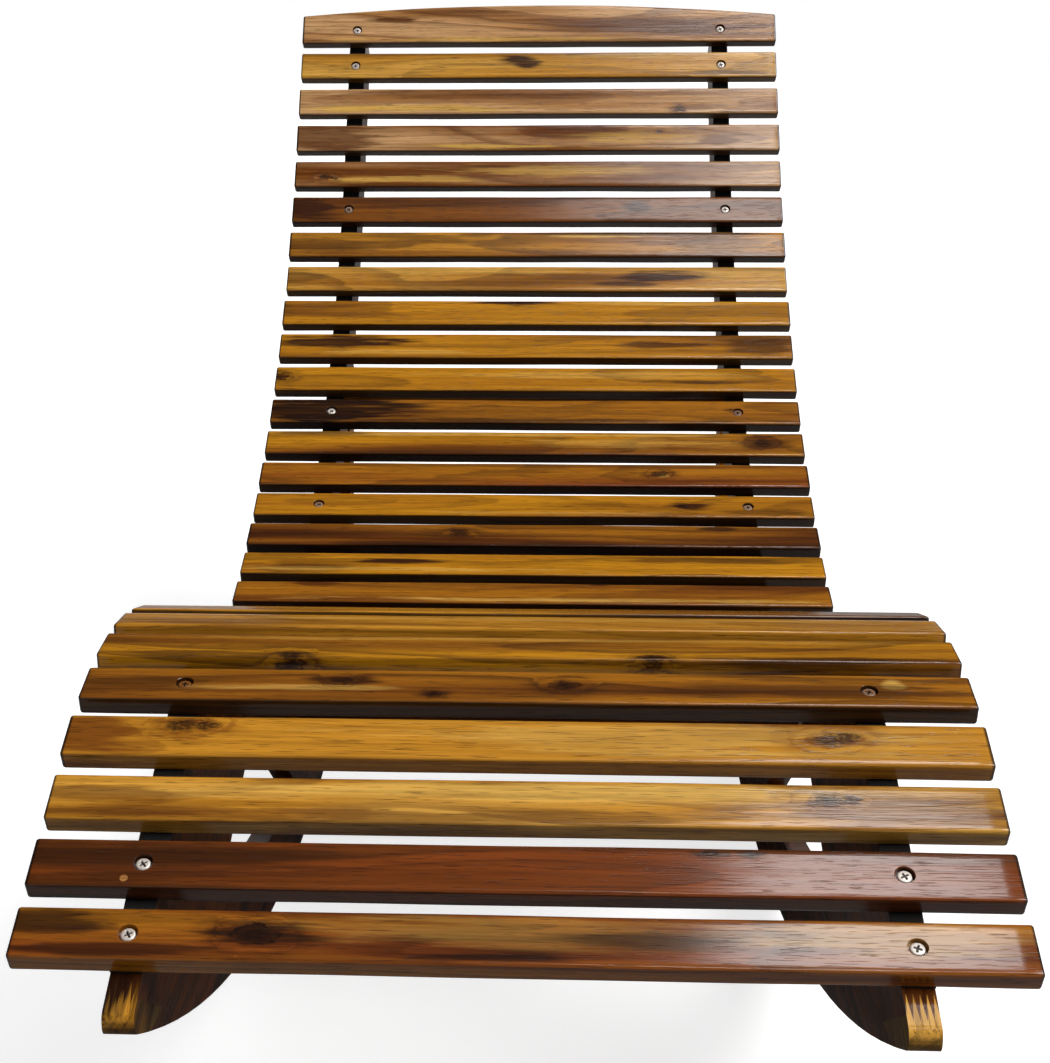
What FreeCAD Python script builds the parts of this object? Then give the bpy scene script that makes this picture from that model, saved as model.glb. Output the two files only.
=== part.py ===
import FreeCAD, Part
import math
import os

# A rocking chaise lounge of oiled hardwood. A mat of slats on two black straps follows an
# S-shaped line: up the foot, over the knee, down into the seat and up the back. Two side
# frames of finger-jointed boards carry it, each standing on one long arc-shaped rocker.
# Millimetres. X is across, Y runs from the foot (-Y) to the head (+Y), Z is up.
# The model is drawn from the point where the rockers touch the floor. At the end it is moved
# so that its origin is the middle of its bounding box, on the floor.

# Slat mat
SLAT_COUNT = 34
SLAT_PITCH = 51.5
SLAT_LENGTH = 600.0
SLAT_WIDTH = 36.0
SLAT_THICKNESS = 14.5
SLAT_EDGE_RADIUS = 2.2
HEAD_SHOULDER = 3.0
HEAD_ARCH_RISE = 15.0
STRAP_WIDTH = 20.0
STRAP_THICKNESS = 1.5
STRAP_SETBACK = 1.0

# The seat line, along the top of the straps, from the middle of the first slat
FRONT_REACH = 737.5
FOOT_CLEARANCE = 55.6
FOOT_RISE = math.radians(26.2)
FOOT_STRAIGHT = 142.0
KNEE_RADIUS = 315.0
KNEE_FALL = math.radians(42.0)
SEAT_RADIUS = 260.0
LUMBAR_RISE = math.radians(13.4)
BACK_RADIUS = 1014.0
HEAD_RISE = math.radians(57.1)

# Side frames. Setbacks are from the toe, and lags are from the seat line's lowest point.
BOARD_THICKNESS = 19.0
SLAT_OVERHANG = 70.0
RAIL_DEPTH = 60.0
HEAD_SETBACK = 12.0
RAIL_END_RADIUS = 14.0
TOE_OVERHANG = 41.0
TOE_RADIUS = 8.0
SEAM_SETBACK = 37.5
OPENING_SETBACK = 265.5
ROCKER_RADIUS = 1600.0
ROCKER_DEPTH = 65.0
ROCKER_REAR_LAG = 591.3
ROCKER_END_RADIUS = 22.0
GUSSET_RISE = math.radians(22.0)
LANDING_FALL = math.radians(36.0)
LANDING_REAR_LAG = 128.3
LANDING_REAR_RISE = math.radians(62.0)
LANDING_FILLET = 30.0
HOUSING_DEPTH = 0.6

# Finger joints between boards
FINGER_PITCH = 4.0
FINGER_LENGTH = 16.0
TOE_JOINT_LEAD = 30.0
TOE_JOINT_FALL = math.radians(34.0)
SEAT_JOINT_LEAD = 72.0
BACK_JOINT_LAG = 131.7

# Struts and cross stretchers
STRUT_WIDTH = 45.0
STRUT_SETBACK = 125.0
STRUT_LEAN = math.radians(12.0)
STRETCHER_THICKNESS = 20.0
STRETCHER_HEIGHT = 50.0
STRETCHER_DROP = 4.0
KNEE_STRETCHER_LAG = 26.0
SEAT_STRETCHER_LAG = 3.3
SEAT_STRETCHER_DROP = 71.0
BACK_STRETCHER_SLAT = 23
REAR_STRETCHER_SETBACK = 43.0

# Fasteners
SCREWED_SLATS = (0, 1, 4, 11, 19, 22, 28, 32, 33)
SCREW_DIAMETER = 4.0
SCREW_LENGTH = 36.0
SCREW_HEAD_DIAMETER = 9.2
SCREW_HEAD_HEIGHT = 2.6
SCREW_HEAD_SINK = 1.2
CROSS_LENGTH = 5.8
CROSS_WIDTH = 1.4
CROSS_DEPTH = 1.6
COUNTERBORE_DIAMETER = 11.6
SCREW_CLEARANCE = 0.3
PILOT_CLEARANCE = 0.05
STAPLE_CROWN = 9.0
STAPLE_WIRE = 1.0
STAPLE_GAUGE = 0.6
STAPLE_LEG = 8.0
BOLT_DIAMETER = 6.0
BOLT_LENGTH = 62.0
BOLT_HEAD_DIAMETER = 12.0
BOLT_HEAD_HEIGHT = 4.0
BOLT_HEAD_SINK = 1.0
BOLT_SOCKET = 4.0
BOLT_CLEARANCE = 0.2
BARREL_DIAMETER = 10.0
BARREL_LENGTH = 15.0
BARREL_SETBACK = 9.0
DOWEL_DIAMETER = 8.0
DOWEL_LENGTH = 36.0
DOWEL_CLEARANCE = 0.1
DOWEL_SPACING = 24.0
LANDING_BOLT_LAGS = (11.3, 91.3)
PLUG_DIAMETER = 5.0
PLUG_DEPTH = 5.0
PLUG_OUTSET = 9.6
PLUG_SETBACK = 12.0
PLUGGED_SLAT = 1

SIDES = (("left", -1), ("right", 1))
ACROSS = FreeCAD.Vector(1, 0, 0)
HAIR = 1e-3
HALVINGS = 60
FAR = 2 * ROCKER_RADIUS
RAIL_TOP = STRAP_THICKNESS
RAIL_BOTTOM = STRAP_THICKNESS + RAIL_DEPTH
BOARD_SPACING = SLAT_LENGTH - 2 * SLAT_OVERHANG
TOE_REACH = FRONT_REACH + TOE_OVERHANG
SEAM_REACH = TOE_REACH - SEAM_SETBACK
OPENING_TIP = TOE_REACH - OPENING_SETBACK
LANDING_HEIGHT = ROCKER_DEPTH - HOUSING_DEPTH
ROCKER_TOP_RADIUS = ROCKER_RADIUS - ROCKER_DEPTH
STRETCHER_LENGTH = BOARD_SPACING - BOARD_THICKNESS
KNEE_START = FOOT_STRAIGHT
SEAT_START = KNEE_START + KNEE_RADIUS * (FOOT_RISE + KNEE_FALL)
BACK_START = SEAT_START + SEAT_RADIUS * (KNEE_FALL + LUMBAR_RISE)
HEAD_START = BACK_START + BACK_RADIUS * (HEAD_RISE - LUMBAR_RISE)
SEAT_JOINT = SEAT_START - SEAT_JOINT_LEAD
BACK_JOINT = BACK_START + BACK_JOINT_LAG
LINE_START = (FRONT_REACH - TOE_REACH - RAIL_TOP * math.sin(FOOT_RISE)) / math.cos(FOOT_RISE)
STRAP_START = STRAP_SETBACK - SLAT_WIDTH / 2
LINE_END = (SLAT_COUNT - 1) * SLAT_PITCH + SLAT_WIDTH / 2 + HEAD_SHOULDER - HEAD_SETBACK
SCREW_SEAT = SLAT_THICKNESS - SCREW_HEAD_SINK - SCREW_HEAD_HEIGHT


def vec(y, z):
    return FreeCAD.Vector(0, y, z)


UP = vec(0, 1)


def heading(angle):
    return vec(math.cos(angle), math.sin(angle))


def rocker_point(y, radius):
    return vec(y, ROCKER_RADIUS - math.sqrt(radius**2 - y**2))


def follow(y, z, angle, curvature, distance):
    """The place and direction reached along a run of constant curvature."""
    if curvature == 0:
        return y + distance * math.cos(angle), z + distance * math.sin(angle), angle
    end = angle + curvature * distance
    y += (math.sin(end) - math.sin(angle)) / curvature
    z += (math.cos(angle) - math.cos(end)) / curvature
    return y, z, end


def seat_runs():
    """The seat line's runs: distance at which each starts, start place and angle, curvature."""
    starts = (0.0, KNEE_START, SEAT_START, BACK_START, HEAD_START)
    curvatures = (0.0, -1 / KNEE_RADIUS, 1 / SEAT_RADIUS, 1 / BACK_RADIUS, 0.0)
    y, angle = -FRONT_REACH, FOOT_RISE
    z = rocker_point(y, ROCKER_RADIUS).z + FOOT_CLEARANCE
    runs = []
    for start, end, curvature in zip(starts, starts[1:] + starts[-1:], curvatures):
        runs.append((start, y, z, angle, curvature))
        y, z, angle = follow(y, z, angle, curvature, end - start)
    return runs


RUNS = seat_runs()


def run_at(s):
    return [run for run in RUNS if run[0] <= max(s, 0.0)][-1]


def seat_frame(s):
    """Point, tangent and upward normal of the seat line at distance s from the first slat."""
    start, y, z, angle, curvature = run_at(s)
    y, z, angle = follow(y, z, angle, curvature, s - start)
    return vec(y, z), heading(angle), heading(angle + math.pi / 2)


SEAT_LOW = seat_frame(SEAT_START + SEAT_RADIUS * KNEE_FALL)[0]
ROCKER_REAR = SEAT_LOW.y + ROCKER_REAR_LAG


def below_seat(s, depth):
    point, _, normal = seat_frame(s)
    return point - normal * depth


def seat_edges(depth, low, high):
    """Edges that follow the seat line at a depth below it, from low to high."""
    stops = [low] + [run[0] for run in RUNS if max(low, 0.0) < run[0] < high] + [high]
    edges = []
    for a, b in zip(stops, stops[1:]):
        middle = (a + b) / 2
        first, between, last = [below_seat(s, depth) for s in (a, middle, b)]
        straight = run_at(middle)[4] == 0
        curve = Part.LineSegment(first, last) if straight else Part.Arc(first, between, last)
        edges.append(curve.toShape())
    return edges


def meet_seat_line(origin, direction, depth, low, high):
    """Distance s at which a line crosses the seat line's offset, by halving [low, high]."""
    def side(s):
        away = below_seat(s, depth) - origin
        return away.y * direction.z - away.z * direction.y
    for _ in range(HALVINGS):
        middle = (low + high) / 2
        if (side(low) > 0) == (side(middle) > 0):
            low = middle
        else:
            high = middle
    return (low + high) / 2


def lines(*points):
    return [Part.LineSegment(a, b).toShape() for a, b in zip(points, points[1:])]


def board(edges, x=0.0, thickness=BOARD_THICKNESS):
    """A flat board centred on x, with its outline in the YZ plane."""
    wire = Part.Wire(Part.__sortEdges__(edges))
    face = Part.Face(wire)
    face.translate(ACROSS * (x - thickness / 2))
    return face.extrude(ACROSS * thickness)


def round_corners(solid, radius, corners):
    """Fillet the edges that run along X through the given corners of the outline."""
    boxes = [(edge, edge.BoundBox) for edge in solid.Edges]
    across = [edge for edge, room in boxes if max(room.YLength, room.ZLength) < HAIR]

    def away(edge, corner):
        middle = edge.CenterOfMass
        return (vec(middle.y, middle.z) - corner).Length
    chosen = [min(across, key=lambda edge: away(edge, corner)) for corner in corners]
    return solid.makeFillet(radius, chosen)


def rocker_arc(low, high, radius):
    middle = rocker_point((low + high) / 2, radius)
    return Part.Arc(rocker_point(low, radius), middle, rocker_point(high, radius)).toShape()


def into_frame(shape, origin, tangent, normal):
    """Place a shape drawn with Y along the tangent and Z along the normal."""
    matrix = FreeCAD.Matrix(
        1, 0, 0, origin.x,
        0, tangent.y, normal.y, origin.y,
        0, tangent.z, normal.z, origin.z,
        0, 0, 0, 1)
    shape.Placement = FreeCAD.Placement(matrix).multiply(shape.Placement)
    return shape


def box(x, y, z, centre_x=0.0, low_z=0.0):
    return Part.makeBox(x, y, z, FreeCAD.Vector(centre_x - x / 2, -y / 2, low_z))


def rod(diameter, length, start, direction=UP):
    return Part.makeCylinder(diameter / 2, length, start, direction)


def solid_of(shape):
    return max(shape.Solids, key=lambda solid: solid.Volume)


# Slat mat: every shape is drawn flat on the slat's underside, then placed on the seat line.

def slat_lift(s):
    """How far a slat stands off a hollow run, where only its two rounded edges touch."""
    flat = SLAT_WIDTH / 2 - SLAT_EDGE_RADIUS
    lift = 0.0
    for place in (s - SLAT_WIDTH / 2, s, s + SLAT_WIDTH / 2):
        curvature = run_at(place)[4]
        if curvature > 0:
            inner = 1 / curvature - SLAT_EDGE_RADIUS
            lift = max(lift, inner - math.sqrt(inner**2 - flat**2))
    return lift


def on_slat(shape, i):
    s = i * SLAT_PITCH
    point, tangent, normal = seat_frame(s)
    return into_frame(shape, point + normal * slat_lift(s), tangent, normal)


def slat_x(side):
    return side * BOARD_SPACING / 2


def at_strap(side, z):
    return FreeCAD.Vector(slat_x(side), 0, z)


def plain_slat():
    blank = box(SLAT_LENGTH, SLAT_WIDTH, SLAT_THICKNESS)
    return blank.makeFillet(SLAT_EDGE_RADIUS, blank.Edges)


def head_slat():
    """The last slat, with its upper edge cut to a shallow arch."""
    half = SLAT_LENGTH / 2
    low = -SLAT_WIDTH / 2
    shoulder = SLAT_WIDTH / 2 + HEAD_SHOULDER
    outline = ((-half, shoulder), (-half, low), (half, low), (half, shoulder))
    corners = [FreeCAD.Vector(x, y, 0) for x, y in outline]
    crown = FreeCAD.Vector(0, shoulder + HEAD_ARCH_RISE, 0)
    arch = Part.Arc(corners[-1], crown, corners[0]).toShape()
    face = Part.Face(Part.Wire(lines(*corners) + [arch]))
    blank = face.extrude(UP * SLAT_THICKNESS)
    return blank.makeFillet(SLAT_EDGE_RADIUS, blank.Edges)


def screw_room(side):
    """What a screw needs cut from slat and strap: a clearance hole and a counterbore."""
    through = SLAT_THICKNESS + 2 * STRAP_THICKNESS
    hole = rod(SCREW_DIAMETER + SCREW_CLEARANCE, through, at_strap(side, -2 * STRAP_THICKNESS))
    return hole.fuse(rod(COUNTERBORE_DIAMETER, SLAT_THICKNESS, at_strap(side, SCREW_SEAT)))


def screw(side):
    """A pan-head screw with a cross recess."""
    head = rod(SCREW_HEAD_DIAMETER, SCREW_HEAD_HEIGHT, at_strap(side, SCREW_SEAT))
    level = [edge for edge in head.Edges if edge.BoundBox.ZLength < HAIR]
    rim = [max(level, key=lambda edge: edge.BoundBox.ZMin)]
    head = head.makeFillet(SCREW_HEAD_HEIGHT / 2, rim)
    bottom = SCREW_SEAT + SCREW_HEAD_HEIGHT - CROSS_DEPTH
    for x, y in ((CROSS_LENGTH, CROSS_WIDTH), (CROSS_WIDTH, CROSS_LENGTH)):
        head = head.cut(box(x, y, SLAT_THICKNESS, slat_x(side), bottom))
    return head.fuse(rod(SCREW_DIAMETER, SCREW_LENGTH, at_strap(side, SCREW_SEAT - SCREW_LENGTH)))


def screw_pilot(side):
    low = at_strap(side, SCREW_SEAT - SCREW_LENGTH)
    return rod(SCREW_DIAMETER + PILOT_CLEARANCE, SCREW_LENGTH, low)


def staple(side, lift):
    """A staple driven up through the strap into the slat, its crown flush under the strap."""
    low = -STRAP_THICKNESS - lift
    shape = box(STAPLE_CROWN, STAPLE_WIRE, STAPLE_GAUGE, slat_x(side), low)
    for end in (-1, 1):
        x = slat_x(side) + end * (STAPLE_CROWN - STAPLE_GAUGE) / 2
        shape = shape.fuse(box(STAPLE_GAUGE, STAPLE_WIRE, STAPLE_LEG, x, low))
    return shape.removeSplitter()


def plug():
    low = at_strap(-1, SLAT_THICKNESS - PLUG_DEPTH)
    return rod(PLUG_DIAMETER, PLUG_DEPTH, low - ACROSS * PLUG_OUTSET - vec(PLUG_SETBACK, 0))


def strap(side):
    front = lines(below_seat(STRAP_START, 0), below_seat(STRAP_START, STRAP_THICKNESS))
    head = lines(below_seat(LINE_END, 0), below_seat(LINE_END, STRAP_THICKNESS))
    top = seat_edges(0, STRAP_START, LINE_END)
    underside = seat_edges(STRAP_THICKNESS, STRAP_START, LINE_END)
    return board(front + head + top + underside, slat_x(side), STRAP_WIDTH)


def slat_mat():
    """Slats, straps, screws, staples and the plug, and the screws' pilot holes in the rails."""
    slats, screws, staples, pilots = [], [], [], []
    strap_cuts = []
    for i in range(SLAT_COUNT):
        slat = head_slat() if i == SLAT_COUNT - 1 else plain_slat()
        lift = slat_lift(i * SLAT_PITCH)
        for _, side in SIDES:
            if i in SCREWED_SLATS:
                slat = slat.cut(screw_room(side))
                strap_cuts.append(on_slat(screw_room(side), i))
                screws.append(on_slat(screw(side), i))
                pilots.append(on_slat(screw_pilot(side), i))
            else:
                slat = slat.cut(staple(side, lift))
                staples.append(on_slat(staple(side, lift), i))
        if i == PLUGGED_SLAT:
            slat = slat.cut(plug())
        slats.append(on_slat(slat, i))
    cuts = Part.makeCompound(strap_cuts + staples)
    straps = [solid_of(strap(side).cut(cuts)) for _, side in SIDES]
    return slats, straps, screws, staples, pilots


# Side frames: every board is drawn centred on X = 0 and moved to its side at the end.

def side_outline():
    """The whole S-shaped board with its toe, knee gusset and landing, before it is jointed."""
    tip = rocker_point(-OPENING_TIP, ROCKER_TOP_RADIUS)
    gusset_end = meet_seat_line(tip, heading(GUSSET_RISE), RAIL_BOTTOM, KNEE_START, SEAT_START)
    flank_start = SEAT_START + SEAT_RADIUS * (KNEE_FALL - LANDING_FALL)
    flank_top = below_seat(flank_start, RAIL_BOTTOM)
    flank_run = (flank_top.z - LANDING_HEIGHT) / math.tan(LANDING_FALL)
    landing_front = vec(flank_top.y + flank_run, LANDING_HEIGHT)
    landing_rear = vec(SEAT_LOW.y + LANDING_REAR_LAG, LANDING_HEIGHT)
    rear_rise = heading(LANDING_REAR_RISE)
    rear_start = meet_seat_line(landing_rear, rear_rise, RAIL_BOTTOM, flank_start, BACK_JOINT)
    rear_top = below_seat(rear_start, RAIL_BOTTOM)
    gusset_top = below_seat(gusset_end, RAIL_BOTTOM)
    head_top = below_seat(LINE_END, RAIL_TOP)
    head_low = below_seat(LINE_END, RAIL_BOTTOM)
    toe_low = rocker_point(-TOE_REACH, ROCKER_RADIUS)
    toe_top = below_seat(LINE_START, RAIL_TOP)
    edges = seat_edges(RAIL_TOP, LINE_START, LINE_END)
    edges += lines(head_top, head_low)
    edges += seat_edges(RAIL_BOTTOM, rear_start, LINE_END)
    edges += lines(rear_top, landing_rear, landing_front, flank_top)
    edges += seat_edges(RAIL_BOTTOM, gusset_end, flank_start)
    edges += lines(gusset_top, tip, rocker_point(-SEAM_REACH, ROCKER_RADIUS))
    edges += [rocker_arc(-TOE_REACH, -SEAM_REACH, ROCKER_RADIUS)]
    edges += lines(toe_low, toe_top)
    whole = board(edges)
    whole = round_corners(whole, RAIL_END_RADIUS, [head_top, head_low])
    whole = round_corners(whole, TOE_RADIUS, [toe_low, toe_top])
    return round_corners(whole, LANDING_FILLET, [rear_top])


def finger_cutter(origin, across, onward):
    """All that lies onward of a finger joint: fingers point along onward, and the joint's
    line runs along across."""
    half = FINGER_LENGTH / 2
    steps = 2 * math.ceil(BOARD_THICKNESS / FINGER_PITCH) + 2
    points = []
    for k in range(-steps // 2, steps // 2 + 1):
        points.append(FreeCAD.Vector(k * FINGER_PITCH / 2, half if k % 2 else -half, -FAR))
    points += [FreeCAD.Vector(points[end].x, FAR, -FAR) for end in (-1, 0)]
    face = Part.Face(Part.makePolygon(points + points[:1]))
    return into_frame(face.extrude(UP * (2 * FAR)), origin, onward, across)


def side_boards():
    """The S-shaped board split by its finger joints into toe block, foot board and rails."""
    whole = side_outline()
    parts = {}
    toe_joint = below_seat(-TOE_JOINT_LEAD, RAIL_TOP)
    toe_onward = heading(-TOE_JOINT_FALL - math.pi / 2)
    toe_cut = finger_cutter(toe_joint, heading(-TOE_JOINT_FALL), toe_onward)
    parts["toe_block"] = whole.common(toe_cut)
    rest = whole.cut(toe_cut)
    for name, joint in (("foot_board", SEAT_JOINT), ("seat_rail", BACK_JOINT)):
        origin, tangent, normal = seat_frame(joint)
        cutter = finger_cutter(origin, normal, tangent)
        parts[name] = rest.cut(cutter)
        rest = rest.common(cutter)
    parts["back_rail"] = rest
    return parts


def rocker(seated):
    """The arc-shaped rocker, housed for what stands on it."""
    low_end = rocker_point(ROCKER_REAR, ROCKER_RADIUS)
    high_end = rocker_point(ROCKER_REAR * ROCKER_TOP_RADIUS / ROCKER_RADIUS, ROCKER_TOP_RADIUS)
    tip = rocker_point(-OPENING_TIP, ROCKER_TOP_RADIUS)
    edges = [rocker_arc(-SEAM_REACH, ROCKER_REAR, ROCKER_RADIUS)]
    edges += lines(low_end, high_end)
    edges += [rocker_arc(-OPENING_TIP, high_end.y, ROCKER_TOP_RADIUS)]
    edges += lines(tip, rocker_point(-SEAM_REACH, ROCKER_RADIUS))
    blank = round_corners(board(edges), ROCKER_END_RADIUS, [low_end, high_end])
    return blank.cut(seated)


def strut_ends():
    """Where the strut's axis leaves the rocker and meets the back rail."""
    foot = rocker_point(ROCKER_REAR - STRUT_SETBACK, ROCKER_TOP_RADIUS)
    axis = heading(math.pi / 2 - STRUT_LEAN)
    s = meet_seat_line(foot, axis, RAIL_BOTTOM, BACK_JOINT, LINE_END)
    return foot, below_seat(s, RAIL_BOTTOM), axis


def strut(neighbours):
    """The strut between rocker and back rail, its ends scribed to both."""
    foot, top, axis = strut_ends()
    spare = STRUT_WIDTH / 2
    blank = box(BOARD_THICKNESS, STRUT_WIDTH, (top - foot).Length + 2 * spare, 0, -spare)
    blank = into_frame(blank, foot, heading(-STRUT_LEAN), axis)
    for neighbour in neighbours:
        blank = blank.cut(neighbour)
    return solid_of(blank)


# Bolts, barrel nuts and dowels: each returns the pieces and the room they need.

def bolt_set(start, direction, barrel_axis):
    """A socket-head bolt driven from start along direction, and its barrel nut."""
    under_head = BOLT_HEAD_SINK + BOLT_HEAD_HEIGHT
    head_top = start + direction * BOLT_HEAD_SINK
    head = rod(BOLT_HEAD_DIAMETER, BOLT_HEAD_HEIGHT, head_top, direction)
    shank = rod(BOLT_DIAMETER, BOLT_LENGTH, start + direction * under_head, direction)
    socket = rod(BOLT_SOCKET, BOLT_HEAD_HEIGHT / 2, head_top, direction)
    middle = start + direction * (under_head + BOLT_LENGTH - BARREL_SETBACK)
    barrel_start = middle - barrel_axis * (BARREL_LENGTH / 2)
    barrel = rod(BARREL_DIAMETER, BARREL_LENGTH, barrel_start, barrel_axis)
    hole = rod(BOLT_DIAMETER + BOLT_CLEARANCE, BOLT_LENGTH + under_head, start, direction)
    sink = rod(BOLT_HEAD_DIAMETER + BOLT_CLEARANCE, under_head, start, direction)
    barrel_hole = rod(BARREL_DIAMETER + BOLT_CLEARANCE, BARREL_LENGTH, barrel_start, barrel_axis)
    return head.fuse(shank).cut(socket), barrel.cut(hole), hole.fuse(sink).fuse(barrel_hole)


def dowel_set(middle, direction):
    start = middle - direction * (DOWEL_LENGTH / 2)
    dowel = rod(DOWEL_DIAMETER, DOWEL_LENGTH, start, direction)
    return dowel, rod(DOWEL_DIAMETER + DOWEL_CLEARANCE, DOWEL_LENGTH, start, direction)


def stretcher_places():
    """Each stretcher's middle and the direction of its height."""
    knee = seat_frame(KNEE_START + KNEE_RADIUS * FOOT_RISE + KNEE_STRETCHER_LAG)[0]
    drop = RAIL_TOP + STRETCHER_DROP + STRETCHER_HEIGHT / 2
    back, _, back_normal = seat_frame(BACK_STRETCHER_SLAT * SLAT_PITCH)
    middle_radius = ROCKER_RADIUS - ROCKER_DEPTH / 2
    rear = rocker_point(ROCKER_REAR - REAR_STRETCHER_SETBACK, middle_radius)
    return {
        "knee_stretcher": (knee - UP * drop, UP),
        "seat_stretcher": (SEAT_LOW + vec(SEAT_STRETCHER_LAG, -SEAT_STRETCHER_DROP), UP),
        "back_stretcher": (back - back_normal * drop, back_normal),
        "rear_stretcher": (rear, (vec(0, ROCKER_RADIUS) - rear).normalize()),
    }


def stretchers():
    """The four cross stretchers with the bolts, barrel nuts and dowels at their ends."""
    parts, bolts, barrels, dowels, rooms = {}, [], [], [], []
    for name, (middle, up) in stretcher_places().items():
        along = vec(up.z, -up.y)
        low = -STRETCHER_HEIGHT / 2
        blank = box(STRETCHER_LENGTH, STRETCHER_THICKNESS, STRETCHER_HEIGHT, 0, low)
        parts[name] = into_frame(blank, middle, along, up)
        for _, side in SIDES:
            inward = ACROSS * -side
            offset = up * (DOWEL_SPACING / 2)
            outer = middle + offset - inward * (BOARD_SPACING + BOARD_THICKNESS) / 2
            bolt, barrel, room = bolt_set(outer, inward, along)
            end = middle - offset - inward * (STRETCHER_LENGTH / 2)
            dowel, dowel_room = dowel_set(end, inward)
            bolts.append(bolt)
            barrels.append(barrel)
            dowels.append(dowel)
            rooms += [room, dowel_room]
    return parts, bolts, barrels, dowels, rooms


def frame_fasteners(x):
    """In one side frame: bolts up through the rocker into the landing, and the strut's dowels."""
    bolts, barrels, dowels, rooms = [], [], [], []
    for lag in LANDING_BOLT_LAGS:
        start = rocker_point(SEAT_LOW.y + lag, ROCKER_RADIUS) + ACROSS * x
        bolt, barrel, room = bolt_set(start, UP, ACROSS)
        bolts.append(bolt)
        barrels.append(barrel)
        rooms.append(room)
    foot, top, axis = strut_ends()
    for end in (foot, top):
        for side in (-1, 1):
            offset = heading(-STRUT_LEAN) * (side * DOWEL_SPACING / 2)
            dowel, room = dowel_set(end + offset + ACROSS * x, axis)
            dowels.append(dowel)
            rooms.append(room)
    return bolts, barrels, dowels, rooms


def frame_boards():
    """One side frame's boards, centred on X = 0."""
    parts = side_boards()
    parts["rocker"] = rocker(parts["seat_rail"])
    parts["strut"] = strut([parts["rocker"], parts["back_rail"]])
    return parts


def build():
    parts = {}
    slats, straps, screws, staples, pilots = slat_mat()
    for i, slat in enumerate(slats):
        parts["slat_%02d" % (i + 1)] = slat
    wooden, bolts, barrels, dowels, rooms = stretchers()
    landing_bolts = []
    boards = frame_boards()
    for (side_name, side), band in zip(SIDES, straps):
        x = slat_x(side)
        bolt_group, barrel_group, dowel_group, frame_rooms = frame_fasteners(x)
        landing_bolts += bolt_group
        barrels += barrel_group
        dowels += dowel_group
        rooms += frame_rooms
        parts["strap_" + side_name] = band
        for name, blank in boards.items():
            wooden[name + "_" + side_name] = blank.translated(ACROSS * x)
    room = Part.makeCompound(rooms + pilots)
    for name, blank in wooden.items():
        parts[name] = solid_of(blank.cut(room))
    parts["slat_screws"] = Part.makeCompound(screws)
    parts["strap_staples"] = Part.makeCompound(staples)
    parts["stretcher_bolts"] = Part.makeCompound(bolts)
    parts["landing_bolts"] = Part.makeCompound(landing_bolts)
    parts["barrel_nuts"] = Part.makeCompound(barrels)
    parts["frame_dowels"] = Part.makeCompound(dowels)
    parts["wood_plug"] = on_slat(plug(), PLUGGED_SLAT)
    return parts


def main():
    parts = build()
    whole = Part.makeCompound(list(parts.values())).BoundBox
    to_origin = FreeCAD.Vector(-whole.Center.x, -whole.Center.y, -whole.ZMin)
    os.makedirs("parts", exist_ok=True)
    for name, shape in parts.items():
        shape.translate(to_origin)
        shape.exportStep("parts/%s.step" % name)
    print("box", whole.XLength, whole.YLength, whole.ZLength, "moved by", to_origin)


main()
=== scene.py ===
import math

import bpy
import numpy as np
from mathutils import Matrix, Vector


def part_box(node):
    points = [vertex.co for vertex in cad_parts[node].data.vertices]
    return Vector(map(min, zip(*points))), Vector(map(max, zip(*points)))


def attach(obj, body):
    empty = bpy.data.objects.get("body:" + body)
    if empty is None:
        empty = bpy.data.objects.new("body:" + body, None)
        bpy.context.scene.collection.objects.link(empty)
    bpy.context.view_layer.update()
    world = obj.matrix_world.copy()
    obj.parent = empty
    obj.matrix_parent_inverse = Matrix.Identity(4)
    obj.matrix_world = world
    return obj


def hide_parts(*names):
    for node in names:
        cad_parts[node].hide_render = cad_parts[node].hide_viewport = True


# A rocking chaise lounge of oiled acacia. Lengths are in metres, in the row frame.

# The slat mat's sizes, as the part's source gives them
SLAT_COUNT = 34
PITCH = 0.0515
LENGTH = 0.6
WIDTH = 0.036
THICKNESS = 0.0145
EDGE = 0.0022
SHOULDER = 0.003
ARCH_RISE = 0.015
STRAP_X = 0.23
STRAP_WIDTH = 0.020
STRAP_THICKNESS = 0.0015
SCREWED = (1, 2, 5, 12, 20, 23, 29, 33, 34)
PLUGGED = 2
PLUG_PLACE = (-0.2396, -0.012)
PLUG_RADIUS = 0.0026
PLUG_DEPTH = 0.005

# The slat screws, with heights measured from the slat's underside
SCREW_SEAT = 0.0107
SCREW_HOLE = 0.00215
COUNTERBORE = 0.0058
COUNTERBORE_WEAR = 0.0009
HEAD_TOP = 0.0133
HEAD_DOME = 0.00025
HEAD_RADIUS = 0.0046
HEAD_RIM = 0.0011
SHANK_RADIUS = 0.002
SHANK = 0.036
CROSS_DEPTH = 0.0012
CROSS_HALF_WIDTH, CROSS_FLANK = 0.00075, 0.0003
CROSS_HALF_LENGTH, CROSS_END = 0.0028, 0.0006
# How brown with wood oil a screw head is, by slat number, with a minus sign on the left
OILED = {-5: 1.0, 5: 0.9, -20: 0.85, 20: 0.8, 23: 0.9, -29: 0.8, -33: 0.25}

# How uneven the slats are: the waves' sizes, with the radius wave as a share of the edge radius
LENGTH_SPREAD = 0.0012
EDGE_WAVE = 0.00022
WARP_WAVE = 0.00018
RADIUS_WAVE = 0.22
WAVES_PER_SLAT = 0.8

# How finely the surfaces are divided
BODY_STATIONS = 58
CORNER_STEPS = 5
STRAP_STATIONS = 420
SMOOTH_BELOW = 38

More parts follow.
